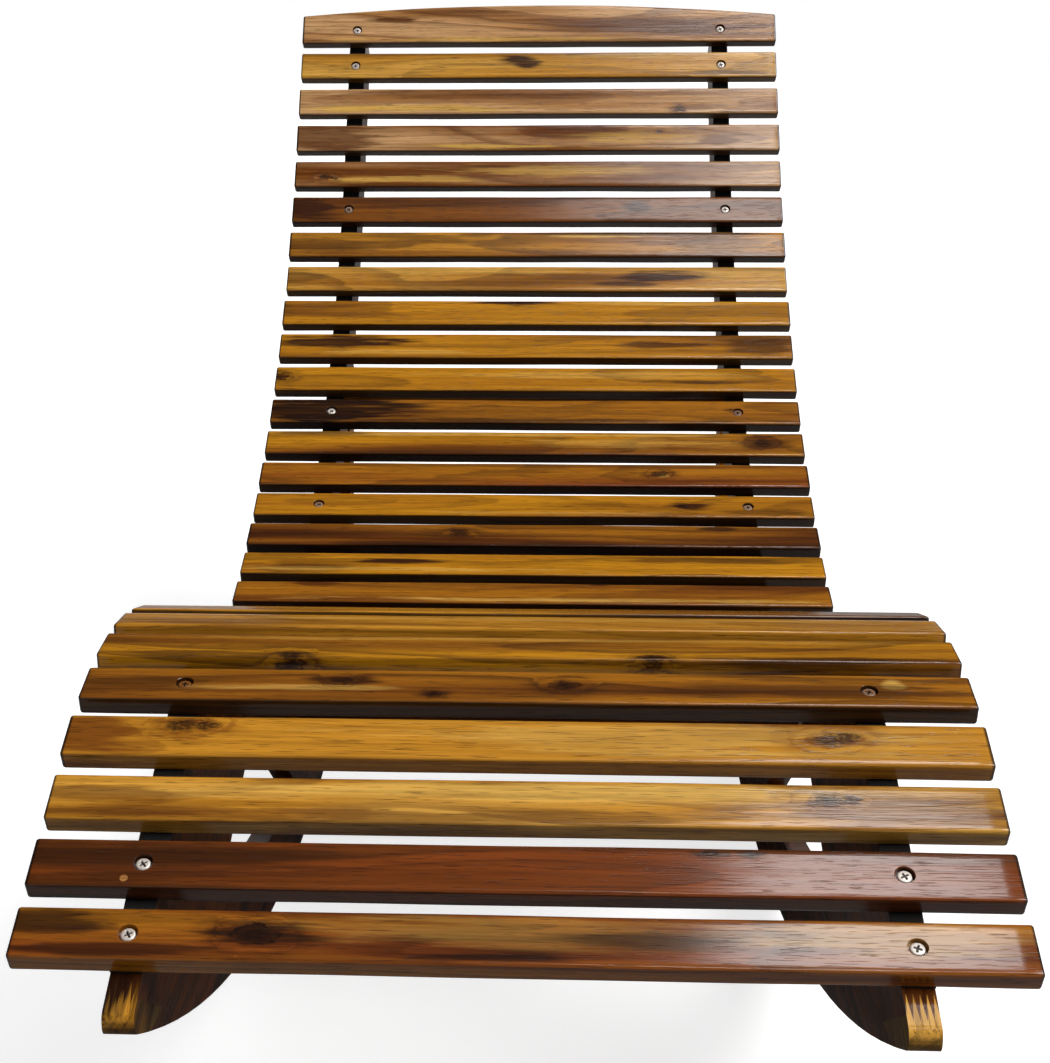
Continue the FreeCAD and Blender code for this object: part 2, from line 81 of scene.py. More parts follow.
# The seat line: runs of constant curvature from the middle of the first slat to past the head.
# The strap begins a little before the line does.
ROCKER_RADIUS = 1.6
FRONT_REACH = 0.7375
FOOT_CLEARANCE = 0.0556
SHIFT_Y = 0.0256336
FOOT_RISE = math.radians(26.2)
KNEE_FALL = math.radians(42.0)
LUMBAR_RISE = math.radians(13.4)
HEAD_RISE = math.radians(57.1)
FOOT_RUN, HEAD_RUN = 0.142, 1.0
KNEE_RADIUS, SEAT_RADIUS, BACK_RADIUS = 0.315, 0.26, 1.014
RUN_LENGTHS = (FOOT_RUN, KNEE_RADIUS * (FOOT_RISE + KNEE_FALL),
               SEAT_RADIUS * (KNEE_FALL + LUMBAR_RISE), BACK_RADIUS * (HEAD_RISE - LUMBAR_RISE),
               HEAD_RUN)
RUN_CURVATURES = (0.0, -1 / KNEE_RADIUS, 1 / SEAT_RADIUS, 1 / BACK_RADIUS, 0.0)
STRAP_START = -0.017
STRAP_END = 1.7085

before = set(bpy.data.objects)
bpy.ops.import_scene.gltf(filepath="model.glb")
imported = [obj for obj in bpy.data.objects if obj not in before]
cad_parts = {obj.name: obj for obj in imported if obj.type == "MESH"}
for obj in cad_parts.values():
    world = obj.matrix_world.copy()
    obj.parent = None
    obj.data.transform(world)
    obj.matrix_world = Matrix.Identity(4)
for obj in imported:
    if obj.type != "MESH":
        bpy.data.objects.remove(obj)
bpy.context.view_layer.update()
rng = np.random.default_rng(4776)


def seat_point(s):
    """Place and angle on the seat line at distance s: whole runs are walked as arcs, the last
    one only as far as s reaches into it. Below 0 the foot's straight run goes on."""
    y = SHIFT_Y - FRONT_REACH
    z = ROCKER_RADIUS - math.sqrt(ROCKER_RADIUS**2 - FRONT_REACH**2) + FOOT_CLEARANCE
    angle = FOOT_RISE
    for length, k in zip(RUN_LENGTHS, RUN_CURVATURES):
        step = min(s, length)
        end = angle + k * step
        if k:
            y += (math.sin(end) - math.sin(angle)) / k
            z += (math.cos(angle) - math.cos(end)) / k
        else:
            y += step * math.cos(angle)
            z += step * math.sin(angle)
        angle = end
        s -= step
        if s <= 0:
            break
    return y, z, angle


def curvature_at(s):
    """One over the radius of the run that distance s falls in; hollow runs are positive."""
    return RUN_CURVATURES[int(np.searchsorted(np.cumsum(RUN_LENGTHS), max(s, 0.0), "right"))]


def slat_place(number):
    """Where slat number 1 to 34 stands: a hollow run holds it up on its two rounded edges."""
    s = (number - 1) * PITCH
    y, z, angle = seat_point(s)
    lift = 0.0
    for place in (s - WIDTH / 2, s, s + WIDTH / 2):
        k = curvature_at(place)
        if k > 0:
            inner = 1 / k - EDGE
            lift = max(lift, inner - math.sqrt(inner**2 - (WIDTH / 2 - EDGE)**2))
    return Matrix.Translation((0, y - lift * math.sin(angle), z + lift * math.cos(angle))) @ \
        Matrix.Rotation(angle, 4, "X")


def placed(points, matrix):
    """Points times the matrix, as one array product."""
    m = np.array(matrix)
    return points @ m[:3, :3].T + m[:3, 3]


def make_piece(name, points, faces):
    """An object at the origin, from an array of points and lists of their numbers."""
    mesh = bpy.data.meshes.new(name)
    mesh.from_pydata(points.tolist(), [], faces)
    mesh.validate()
    piece = bpy.data.objects.new(name, mesh)
    bpy.context.scene.collection.objects.link(piece)
    return piece


def tube_faces(rings, around):
    """Quads between consecutive rings of a closed profile, and a cap at each end."""
    i, k = np.meshgrid(np.arange(rings - 1), np.arange(around), indexing="ij")
    a = i * around + k
    b = i * around + (k + 1) % around
    quads = np.stack([a, b, b + around, a + around], -1).reshape(-1, 4)
    first = list(range(around))[::-1]
    last = list(range((rings - 1) * around, rings * around))
    return quads.tolist() + [first, last]


def smooth_edges(mesh, angle=SMOOTH_BELOW):
    """Smooth shading, apart from edges that bend by more than the angle in degrees."""
    mesh.shade_smooth()
    mesh.set_sharp_from_angle(angle=math.radians(angle))


def slow_wave(x, count, size):
    """A sum of sines of x with random phases, of about size. The longest wave is a little
    longer than a slat, and the nth is n times shorter and lower by the square root of n."""
    phases = rng.uniform(0, 2 * math.pi, count)
    waves = [math.sqrt(1 / n) * np.sin(2 * math.pi * n * x / LENGTH * WAVES_PER_SLAT + phase)
             for n, phase in zip(range(1, count + 1), phases)]
    return size * np.sum(waves, axis=0) / math.sqrt(count)


def slat_points(arched):
    """A bar with rounded edges. Round the section the corners are quarter circles whose radius
    varies a little along the bar, and the flats are straight lines between them; at the ends
    the section shrinks along a quarter circle. Slow waves bend the edges by tenths of a
    millimetre. The head slat's upper edge follows a shallow arc."""
    ends = np.radians([88, 66, 44, 22])
    inset = np.concatenate([1 - np.cos(ends), np.zeros(BODY_STATIONS), 1 - np.cos(ends[::-1])])
    half = LENGTH / 2 - rng.uniform(0, LENGTH_SPREAD)
    body = np.linspace(-half + EDGE, half - EDGE, BODY_STATIONS)
    x = np.concatenate([-half + EDGE - EDGE * np.sin(ends), body,
                        half - EDGE + EDGE * np.sin(ends[::-1])])
    top = np.full_like(x, WIDTH / 2)
    if arched:
        top = top + SHOULDER + ARCH_RISE * (1 - (x / half)**2)
    top = top + slow_wave(x, 5, EDGE_WAVE)
    low = -WIDTH / 2 + slow_wave(x, 5, EDGE_WAVE)
    warp = slow_wave(x, 3, WARP_WAVE)
    turn = np.linspace(0, math.pi / 2, CORNER_STEPS)
    # Each corner: its y and z, its outward signs, and the points on the flat that follows
    corners = ((top, THICKNESS, 1, 1, 10), (low, THICKNESS, -1, 1, 3),
               (low, 0.0, -1, -1, 6), (top, 0.0, 1, -1, 3))
    columns = []
    for number, (edge, level, across, upward, flats) in enumerate(corners):
        radius = EDGE * (1 + slow_wave(x, 6, RADIUS_WAVE))
        for a in turn + number * math.pi / 2:
            y = edge - radius * (across - math.cos(a))
            z = level - radius * (upward - math.sin(a))
            columns.append((y, z, math.cos(a), math.sin(a)))
        start_y, start_z, cosine, sine = columns[-1]
        next_edge, next_level, next_across, next_upward, _ = corners[(number + 1) % 4]
        end_y = next_edge - radius * (next_across - cosine)
        end_z = next_level - radius * (next_upward - sine)
        for share in np.linspace(0, 1, flats + 2)[1:-1]:
            y = start_y + (end_y - start_y) * share
            z = start_z + (end_z - start_z) * share
            columns.append((y, z, cosine, sine))
    y = np.stack([np.broadcast_to(c[0], x.shape) - c[2] * EDGE * inset for c in columns], 1)
    z = np.stack([np.broadcast_to(c[1], x.shape) - c[3] * EDGE * inset for c in columns], 1)
    z = z + (warp * (1 - (x / half)**2))[:, None]
    points = np.stack([np.broadcast_to(x[:, None], y.shape), y, z], -1)
    return points.reshape(-1, 3), tube_faces(len(x), len(columns))


def turned_tool(profile, place, segments=40):
    """A solid of revolution round Z: each profile point (radius, height) becomes a circle."""
    angles = np.linspace(0, 2 * math.pi, segments, endpoint=False)
    circle = np.stack([np.cos(angles), np.sin(angles)], -1)
    rings = [np.column_stack([circle * r + place, np.full(segments, h)]) for r, h in profile]
    return np.concatenate(rings), tube_faces(len(profile), segments)


def cut(piece, tools):
    """Take the tools' room out of a piece, and bake the result."""
    for points, faces in tools:
        tool = make_piece("cutter", points, faces)
        cutter = piece.modifiers.new("hole", "BOOLEAN")
        cutter.operation, cutter.solver, cutter.object = "DIFFERENCE", "EXACT", tool
        evaluated = piece.evaluated_get(bpy.context.evaluated_depsgraph_get())
        mesh = bpy.data.meshes.new_from_object(evaluated)
        piece.modifiers.clear()
        piece.data = mesh
        bpy.data.objects.remove(tool)


def make_slat(number):
    """One slat in its place. Screw holes and counterbores, whose mouths flare where they are
    worn, and the plug's hole are cut out of it."""
    points, faces = slat_points(number == SLAT_COUNT)
    piece = make_piece("slat_%02d_wood" % number, points, faces)
    tools = []
    below, above = -0.005, 0.02
    mouth = COUNTERBORE + COUNTERBORE_WEAR
    if number in SCREWED:
        profile = ((SCREW_HOLE, below), (SCREW_HOLE, SCREW_SEAT),
                   (COUNTERBORE, SCREW_SEAT), (COUNTERBORE + 0.0002, THICKNESS - 0.0003),
                   (mouth, THICKNESS + 0.0004), (mouth, above))
        tools = [turned_tool(profile, (side * STRAP_X, 0)) for side in (-1, 1)]
    if number == PLUGGED:
        profile = ((PLUG_RADIUS, THICKNESS - PLUG_DEPTH), (PLUG_RADIUS, above))
        tools.append(turned_tool(profile, PLUG_PLACE))
    cut(piece, tools)
    piece.data.transform(slat_place(number))
    smooth_edges(piece.data)
    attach(piece, "root")
    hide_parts("slat_%02d" % number)
    return piece


def make_strap(side_name, side):
    """A woven band: a flat section with round selvedges, carried along the seat line. The
    attribute weave holds each point's place across, along and through the band."""
    stations = np.linspace(STRAP_START, STRAP_END, STRAP_STATIONS)
    places = np.array([seat_point(s) for s in stations])
    half = STRAP_THICKNESS / 2
    turn = np.linspace(-math.pi / 2, math.pi / 2, 5)
    flat = np.linspace(STRAP_WIDTH / 2 - half, -STRAP_WIDTH / 2 + half, 9)[1:-1]
    level = np.full(len(flat), half)
    across = np.concatenate([STRAP_WIDTH / 2 - half + half * np.cos(turn), flat,
                             -STRAP_WIDTH / 2 + half - half * np.cos(turn), -flat])
    depth = np.concatenate([half * np.sin(turn), level, -half * np.sin(turn), -level]) - half
    y = places[:, :1] - np.sin(places[:, 2:]) * depth
    z = places[:, 1:2] + np.cos(places[:, 2:]) * depth
    x = np.broadcast_to(side * STRAP_X + across, y.shape)
    points = np.stack([x, y, z], -1).reshape(-1, 3)
    piece = make_piece("strap_%s_web" % side_name, points, tube_faces(*y.shape))
    along = np.broadcast_to(stations[:, None], y.shape).ravel()
    values = np.stack([np.broadcast_to(across, y.shape).ravel(), along,
                       np.broadcast_to(depth, y.shape).ravel()], -1).astype(np.float32)
    weave = piece.data.attributes.new("weave", "FLOAT_VECTOR", "POINT")
    weave.data.foreach_set("vector", values.ravel())
    smooth_edges(piece.data, 60)
    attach(piece, "root")
    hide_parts("strap_" + side_name)
    piece.data.materials.append(webbing())


# Node helpers

def linear(red, green, blue):
    """A colour given on the 0 to 255 screen scale, as the linear values that shaders take."""
    values = np.array([red, green, blue]) / 255
    low, high = values / 12.92, ((values + 0.055) / 1.055)**2.4
    return (*np.where(values <= 0.04045, low, high).tolist(), 1.0)


def new_material(name):
    material = bpy.data.materials.new(name)
    material.use_nodes = True
    material.node_tree.nodes.clear()
    return material, material.node_tree


def add(tree, kind, inputs=None, **settings):
    """One node, with its settings, and its inputs set or linked by name or number."""
    made = tree.nodes.new(kind)
    for name, value in settings.items():
        setattr(made, name, value)
    for key, value in (inputs or {}).items():
        if isinstance(value, bpy.types.NodeSocket):
            tree.links.new(value, made.inputs[key])
        else:
            made.inputs[key].default_value = value
    return made


def calc(tree, operation, *values, clamp=False):
    """One sum on numbers or on nodes' outputs."""
    inputs = dict(enumerate(values))
    return add(tree, "ShaderNodeMath", inputs, operation=operation, use_clamp=clamp).outputs[0]


def vector_calc(tree, operation, *values, output="Vector"):
    """One sum on vectors, whose result is a vector or, as output Value, a number."""
    inputs = dict(enumerate(values))
    return add(tree, "ShaderNodeVectorMath", inputs, operation=operation).outputs[output]


def ramp(tree, value, low, high, low_out=0.0, high_out=1.0):
    """A smooth step of value from low to high."""
    inputs = {0: value, 1: low, 2: high, 3: low_out, 4: high_out}
    return add(tree, "ShaderNodeMapRange", inputs, interpolation_type="SMOOTHSTEP").outputs[0]


def noise(tree, vector, scales, detail=2.0, rough=0.5, colour=False):
    """Noise with so many cycles to the metre along each of the vector's axes."""
    stretched = vector_calc(tree, "MULTIPLY", vector, scales)
    inputs = {"Vector": stretched, "Scale": 1.0, "Detail": detail, "Roughness": rough}
    made = add(tree, "ShaderNodeTexNoise", inputs, noise_dimensions="3D")
    return made.outputs[1 if colour else 0]


def blend_colours(tree, share, first, second, kind="MIX"):
    """The first colour at share 0 and the second at share 1."""
    inputs = {0: share, 6: first, 7: second}
    return add(tree, "ShaderNodeMix", inputs, data_type="RGBA", blend_type=kind).outputs[2]


def new_group(name, inputs, outputs):
    """A node group, its own inputs and its own outputs. The sockets' kinds are f for a number,
    v for a vector and c for a colour."""
    tree = bpy.data.node_groups.new(name, "ShaderNodeTree")
    kinds = {"f": "NodeSocketFloat", "v": "NodeSocketVector", "c": "NodeSocketColor"}
    for label, kind in inputs:
        tree.interface.new_socket(label, in_out="INPUT", socket_type=kinds[kind])
    for label, kind in outputs:
        tree.interface.new_socket(label, in_out="OUTPUT", socket_type=kinds[kind])
    given = tree.nodes.new("NodeGroupInput").outputs
    result = tree.nodes.new("NodeGroupOutput").inputs
    return tree, given, result


# Noise in the wood, in cycles to the metre along, across and through a board
SLOW_BEND = (1.8, 11, 11)
QUICK_BEND = (10, 80, 80)
BROAD_BANDS = (1.9, 17, 17)
STREAKS = (1.5, 62, 62)
FIBRES = (16, 760, 760)
THREADS = (6, 270, 270)
PORES = (50, 1100, 1100)
SOFT_WAVES = (9, 50, 50)
KNOT_OUTLINE = (110, 260, 260)
KNOT_CRUMBS = (260, 620, 620)
KNOT_SMOKE = (22, 190, 190)
PATCH_OUTLINE = (11, 130, 130)
HALF_GREY = (0.5, 0.5, 0.5)
# From where to where, past a board's half length, its end grain sets in
END_GRAIN_REACH = (-0.0034, -0.0016)
SAPWOOD = linear(214, 166, 78)
PORE = linear(38, 18, 6)
KNOT_CORE = linear(34, 15, 7)
# Painted shade laid on a board's narrow faces
PAINTED_SIDE_SHADE = linear(22, 10, 5)
END_GRAIN = linear(24, 11, 5)


def make_acacia_group():
    """Acacia, from a board's own coordinates: x along the grain, y across, z through it.
    Growth rings are circles round a pith outside the board, bent by slow noise and pushed aside
    by knots, and each ring has its own tone. Broad bands, streaks, fibres and pores are noise
    stretched along x. SideShade paints shade on the narrow faces, darker than the broad ones,
    and beyond Half the end grain is darker still."""
    t, given, result = new_group("acacia", [
        ("Place", "v"), ("Seed", "f"), ("Pith", "v"), ("Ring", "f"), ("Streak", "f"),
        ("Pale", "c"), ("Brown", "c"), ("Dark", "c"), ("Push", "f"), ("Knot", "f"),
        ("Stain", "f"), ("Light", "f"), ("Face", "v"), ("SideShade", "f"), ("Half", "f")],
        [("Color", "c"), ("Height", "f"), ("Rough", "f")])
    seed = add(t, "ShaderNodeCombineXYZ", {0: given["Seed"], 1: given["Seed"], 2: given["Seed"]})
    place = vector_calc(t, "ADD", given["Place"], seed.outputs[0])
    slow = noise(t, place, SLOW_BEND, 1.5, colour=True)
    quick = noise(t, place, QUICK_BEND, 2.0, colour=True)
    bent = vector_calc(t, "MULTIPLY_ADD", vector_calc(t, "SUBTRACT", slow, HALF_GREY),
                       (0, 0.07, 0.07), vector_calc(t, "SUBTRACT", given["Place"], given["Pith"]))
    bent = vector_calc(t, "MULTIPLY_ADD", vector_calc(t, "SUBTRACT", quick, HALF_GREY),
                       (0, 0.004, 0.004), bent)
    radius = vector_calc(t, "LENGTH", vector_calc(t, "MULTIPLY", bent, (0.02, 1, 1)),
                         output="Value")
    radius = calc(t, "ADD", radius, given["Push"])
    rings = calc(t, "ADD", calc(t, "DIVIDE", radius, given["Ring"]), given["Seed"])
    phase = calc(t, "FRACT", rings)
    whole = calc(t, "FLOOR", rings)
    this_tone = add(t, "ShaderNodeTexWhiteNoise", {"W": whole}, noise_dimensions="1D").outputs[0]
    next_tone = add(t, "ShaderNodeTexWhiteNoise", {"W": calc(t, "ADD", whole, 1.0)},
                    noise_dimensions="1D").outputs[0]
    turn = ramp(t, phase, 0.55, 1.0)
    ring_tone = calc(t, "ADD", this_tone,
                     calc(t, "MULTIPLY", calc(t, "SUBTRACT", next_tone, this_tone), turn))
    late = calc(t, "MULTIPLY", ramp(t, phase, 0.45, 0.95), ramp(t, phase, 0.95, 1.0, 1.0, 0.0))
    streaks = noise(t, place, STREAKS, 2.5, 0.55)
    broad = noise(t, place, BROAD_BANDS, 1.0)
    fibres = noise(t, place, FIBRES, 2.5, 0.6)
    threads = noise(t, place, THREADS, 2.5, 0.62)
    pores = ramp(t, noise(t, place, PORES, 1.0), 0.60, 0.70)
    tone = calc(t, "MULTIPLY_ADD", calc(t, "SUBTRACT", ring_tone, 0.5), 0.55, 0.5)
    tone = calc(t, "MULTIPLY_ADD", calc(t, "SUBTRACT", broad, 0.5), 1.9, tone)
    tone = calc(t, "MULTIPLY_ADD", calc(t, "SUBTRACT", streaks, 0.5), 1.7, tone)
    colour = blend_colours(t, ramp(t, tone, 0.22, 0.92), given["Pale"], given["Brown"])
    deep = calc(t, "MULTIPLY", ramp(t, tone, 0.72, 1.10), given["Streak"], clamp=True)
    colour = blend_colours(t, deep, colour, given["Dark"])
    lines = calc(t, "MULTIPLY", late, given["Streak"])
    colour = blend_colours(t, calc(t, "MULTIPLY", lines, 0.6), colour, given["Dark"])
    colour = blend_colours(t, given["Light"], colour, SAPWOOD)
    uneven = calc(t, "MULTIPLY_ADD", threads, 0.9, 0.55)
    stain = calc(t, "MULTIPLY", given["Stain"], uneven, clamp=True)
    colour = blend_colours(t, stain, colour, given["Dark"])
    shade = calc(t, "MULTIPLY_ADD", fibres, 0.70, 0.16)
    shade = calc(t, "MULTIPLY_ADD", threads, 1.10, shade)
    tint = add(t, "ShaderNodeCombineColor", {
        0: shade, 1: calc(t, "MULTIPLY_ADD", shade, 1.12, -0.12),
        2: calc(t, "MULTIPLY_ADD", shade, 1.3, -0.3)})
    colour = blend_colours(t, 1.0, colour, tint.outputs[0], "MULTIPLY")
    colour = blend_colours(t, calc(t, "MULTIPLY", pores, 0.5), colour, PORE)
    colour = blend_colours(t, given["Knot"], colour, KNOT_CORE)
    # Painted shade: faces turned away from Face, the narrow ones, are darkened as SideShade says
    turned = vector_calc(t, "DOT_PRODUCT", add(t, "ShaderNodeTexCoord").outputs["Normal"],
                         given["Face"], output="Value")
    flat = ramp(t, calc(t, "ABSOLUTE", turned), 0.25, 0.8)
    narrow_shade = calc(t, "MULTIPLY", calc(t, "SUBTRACT", 1.0, flat), given["SideShade"])
    colour = blend_colours(t, narrow_shade, colour, PAINTED_SIDE_SHADE)
    along = calc(t, "ABSOLUTE", add(t, "ShaderNodeSeparateXYZ", {0: given["Place"]}).outputs[0])
    beyond = ramp(t, calc(t, "SUBTRACT", along, given["Half"]), *END_GRAIN_REACH, 0.0, 0.9)
    colour = blend_colours(t, beyond, colour, END_GRAIN)
    t.links.new(colour, result["Color"])
    height = calc(t, "MULTIPLY", fibres, 0.45)
    height = calc(t, "MULTIPLY_ADD", threads, 0.7, height)
    height = calc(t, "MULTIPLY_ADD", pores, -0.4, height)
    height = calc(t, "MULTIPLY_ADD", late, -0.12, height)
    height = calc(t, "MULTIPLY_ADD", given["Knot"], -0.35, height)
    height = calc(t, "MULTIPLY_ADD", noise(t, place, SOFT_WAVES, 1.5), 1.8, height)
    t.links.new(height, result["Height"])
    rough = calc(t, "MULTIPLY_ADD", threads, 0.26, 0.34)
    rough = calc(t, "MULTIPLY_ADD", pores, 0.2, rough)
    t.links.new(rough, result["Rough"])
    return t


def make_knot_group():
    """A knot: distance from its middle, halved along the grain and roughened by noise, gives a
    dark crumbly core, a smoky halo with faint rings, and how far the growth rings step aside.
    Each is joined to what the board's earlier knots gave."""
    t, given, result = new_group("knot", [
        ("Place", "v"), ("Middle", "v"), ("Size", "f"), ("Push", "f"), ("Knot", "f"),
        ("Halo", "f")],
        [("Push", "f"), ("Knot", "f"), ("Halo", "f")])
    away = vector_calc(t, "SUBTRACT", given["Place"], given["Middle"])
    rough = vector_calc(t, "SUBTRACT", noise(t, given["Place"], KNOT_OUTLINE, 3.0, 0.65, True),
                        HALF_GREY)
    away = vector_calc(t, "MULTIPLY_ADD", rough, (0.014, 0.009, 0.0), away)
    squeezed = vector_calc(t, "MULTIPLY", away, (0.5, 1, 0.15))
    distance = vector_calc(t, "LENGTH", squeezed, output="Value")
    share = calc(t, "DIVIDE", distance, given["Size"])
    core = ramp(t, share, 0.45, 0.95, 0.86, 0.0)
    halo = ramp(t, share, 0.6, 2.8, 1.0, 0.0)
    crumbs = ramp(t, noise(t, given["Place"], KNOT_CRUMBS, 2.0, 0.6), 0.36, 0.56, 0.62, 1.0)
    smoke = ramp(t, noise(t, given["Place"], KNOT_SMOKE, 3.0, 0.6), 0.36, 0.62)
    circles = ramp(t, calc(t, "SINE", calc(t, "MULTIPLY", share, 9.0)), 0.2, 1.0)
    ringed = calc(t, "MULTIPLY", halo, calc(t, "MULTIPLY", circles, 0.35))
    around = calc(t, "MULTIPLY_ADD", calc(t, "MULTIPLY", halo, smoke), 0.85, ringed)
    core = calc(t, "MULTIPLY", core, crumbs)
    t.links.new(calc(t, "MAXIMUM", core, given["Knot"]), result["Knot"])
    t.links.new(calc(t, "MAXIMUM", around, given["Halo"]), result["Halo"])
    pushed = calc(t, "MULTIPLY", calc(t, "MULTIPLY", halo, halo),
                  calc(t, "MULTIPLY", given["Size"], 1.4))
    t.links.new(calc(t, "ADD", given["Push"], pushed), result["Push"])
    return t


def make_patch_group():
    """A patch of darker or paler wood: an ellipse along the grain with a feathered edge."""
    t, given, result = new_group("patch", [
        ("Place", "v"), ("Middle", "v"), ("Reach", "v"), ("Amount", "f"), ("Mask", "f")],
        [("Mask", "f")])
    away = vector_calc(t, "DIVIDE", vector_calc(t, "SUBTRACT", given["Place"], given["Middle"]),
                       given["Reach"])
    distance = vector_calc(t, "LENGTH", away, output="Value")
    feather = calc(t, "SUBTRACT", noise(t, given["Place"], PATCH_OUTLINE, 3.5, 0.62), 0.5)
    edge = calc(t, "MULTIPLY_ADD", feather, 2.1, distance)
    mask = calc(t, "MULTIPLY", ramp(t, edge, 0.45, 1.1, 1.0, 0.0), given["Amount"])
    t.links.new(calc(t, "MAXIMUM", mask, given["Mask"]), result["Mask"])
    return t


ACACIA = make_acacia_group()
KNOT = make_knot_group()
PATCH = make_patch_group()

TONES = {
    "ink": linear(34, 15, 6), "dark": linear(60, 29, 8), "chestnut": linear(94, 47, 10),
    "brown": linear(128, 72, 14), "red": linear(126, 60, 15), "honey": linear(163, 101, 18),
    "gold": linear(194, 131, 34), "straw": linear(214, 158, 66), "tan": linear(176, 120, 62),
    "amber": linear(190, 126, 18), "sand": linear(206, 158, 106),
}


def wood(name, matrix, tones, seed, pith, ring, streak, knots=(), stains=(), lights=(),
         edge=0.0, half=9.0, face=None, coat=0.9):
    """One board's acacia, read in the board's own frame. Knots and patches are in millimetres:
    x from the middle, y across, and for a patch on one side only also its place and reach
    through the board. Past its half length the board shows end grain; 9 m means never."""
    material, t = new_material(name)
    place = add(t, "ShaderNodeMapping", {
        "Vector": add(t, "ShaderNodeTexCoord").outputs["Object"],
        "Location": matrix.to_translation(), "Rotation": matrix.to_euler("XYZ")},
        vector_type="TEXTURE").outputs[0]
    push = knot = halo = 0.0
    for x, y, size in knots:
        made = add(t, "ShaderNodeGroup", {
            "Place": place, "Middle": (x / 1000, y / 1000, THICKNESS), "Size": size / 1000,
            "Push": push, "Knot": knot, "Halo": halo}, node_tree=KNOT)
        push, knot, halo = (made.outputs[key] for key in ("Push", "Knot", "Halo"))
    masks = []
    for patches, mask in ((stains, halo), (lights, 0.0)):
        for x, y, reach, height, amount, *through in patches:
            depth, spread = through or (1000 * THICKNESS, 30)
            made = add(t, "ShaderNodeGroup", {
                "Place": place, "Middle": (x / 1000, y / 1000, depth / 1000), "Mask": mask,
                "Reach": (reach / 1000, height / 1000, spread / 1000), "Amount": amount},
                node_tree=PATCH)
            mask = made.outputs["Mask"]
        masks.append(mask)
    pale, brown, dark = (TONES[tone] for tone in tones)
    # edge becomes SideShade: painted shade on the faces turned away from face
    grain = add(t, "ShaderNodeGroup", {
        "Place": place, "Seed": seed, "Pith": (0, *pith), "Ring": ring, "Streak": streak,
        "Pale": pale, "Brown": brown, "Dark": dark, "Push": push, "Knot": knot,
        "Stain": masks[0], "Light": masks[1], "SideShade": edge, "Half": half,
        "Face": face or matrix.to_3x3() @ Vector((0, 0, 1))}, node_tree=ACACIA)
    bump = add(t, "ShaderNodeBump", {"Strength": 0.7, "Distance": 0.0004,
                                     "Height": grain.outputs["Height"]})
    skin = add(t, "ShaderNodeBump", {"Strength": 0.5, "Distance": 0.0002,
                                     "Height": grain.outputs["Height"]})
    shader = add(t, "ShaderNodeBsdfPrincipled", {
        "Base Color": grain.outputs["Color"], "Roughness": grain.outputs["Rough"],
        "Normal": bump.outputs[0], "Specular IOR Level": 0.06, "Coat Weight": coat,
        "Coat Roughness": 0.13, "Coat Normal": skin.outputs[0]})
    add(t, "ShaderNodeOutputMaterial", {"Surface": shader.outputs[0]})
    return material


def webbing():
    """Black woven webbing: two crossed rows of threads, each a rounded ridge, over and under in
    turn, with a few paler worn threads. Both straps share the one material."""
    if "black webbing" in bpy.data.materials:
        return bpy.data.materials["black webbing"]
    material, t = new_material("black webbing")
    place = add(t, "ShaderNodeAttribute", attribute_name="weave").outputs["Vector"]
    parts = add(t, "ShaderNodeSeparateXYZ", {0: place}).outputs
    warp_spacing, weft_spacing = 0.0016, 0.0022
    warp = calc(t, "MULTIPLY", parts[0], 2 * math.pi / warp_spacing)
    weft = calc(t, "MULTIPLY", parts[1], 2 * math.pi / weft_spacing)
    weave = calc(t, "MULTIPLY", calc(t, "SINE", warp), calc(t, "SINE", weft))
    ridges = calc(t, "ABSOLUTE", calc(t, "SINE", warp))
    fuzz = noise(t, place, (900, 400, 900), 3.0, 0.6)
    height = calc(t, "ADD", calc(t, "ADD", weave, ridges), calc(t, "MULTIPLY", fuzz, 0.6))
    shade = ramp(t, calc(t, "ADD", weave, fuzz), -0.4, 1.6)
    colour = blend_colours(t, shade, linear(5, 4, 4), linear(24, 22, 21))
    worn = ramp(t, noise(t, place, (60, 25, 60), 3.0), 0.62, 0.78)
    colour = blend_colours(t, calc(t, "MULTIPLY", worn, 0.3), colour, linear(52, 47, 42))
    bump = add(t, "ShaderNodeBump", {"Strength": 0.8, "Distance": 0.0003, "Height": height})
    rough = ramp(t, fuzz, 0.2, 0.8, 0.62, 0.85)
    shader = add(t, "ShaderNodeBsdfPrincipled", {
        "Base Color": colour, "Roughness": rough, "Normal": bump.outputs[0],
        "Sheen Weight": 0.06, "Specular IOR Level": 0.25})
    add(t, "ShaderNodeOutputMaterial", {"Surface": shader.outputs[0]})
    return material


def zinc_steel():
    """Zinc-plated steel: cloudy spangle and fine scratches, with painted shade where the
    attribute recess_and_shade says that the surface is sunk, and brown wood oil as the attribute
    oiled says."""
    material, t = new_material("zinc steel")
    place = add(t, "ShaderNodeTexCoord").outputs["Object"]
    recess_and_shade = add(t, "ShaderNodeAttribute", attribute_name="recess_and_shade").outputs["Fac"]
    oiled = add(t, "ShaderNodeAttribute", attribute_name="oiled").outputs["Fac"]
    cloud = noise(t, place, (420, 420, 420), 3.0, 0.6)
    scratches = noise(t, place, (3200, 500, 900), 2.0, 0.6)
    colour = blend_colours(t, cloud, linear(216, 203, 192), linear(246, 236, 226))
    colour = blend_colours(t, oiled, colour, linear(126, 76, 24))
    # Painted shade in the sunk cross: a dark colour here, and less metal below
    colour = blend_colours(t, recess_and_shade, colour, linear(22, 14, 10))
    rough = ramp(t, calc(t, "ADD", cloud, scratches), 0.6, 1.4, 0.30, 0.48)
    bump = add(t, "ShaderNodeBump", {"Strength": 0.3, "Distance": 0.0001, "Height": scratches})
    metal = calc(t, "SUBTRACT", 0.35, calc(t, "ADD", recess_and_shade, oiled), clamp=True)
    shader = add(t, "ShaderNodeBsdfPrincipled", {
        "Base Color": colour, "Metallic": metal, "Roughness": rough, "Normal": bump.outputs[0]})
    add(t, "ShaderNodeOutputMaterial", {"Surface": shader.outputs[0]})
    return material
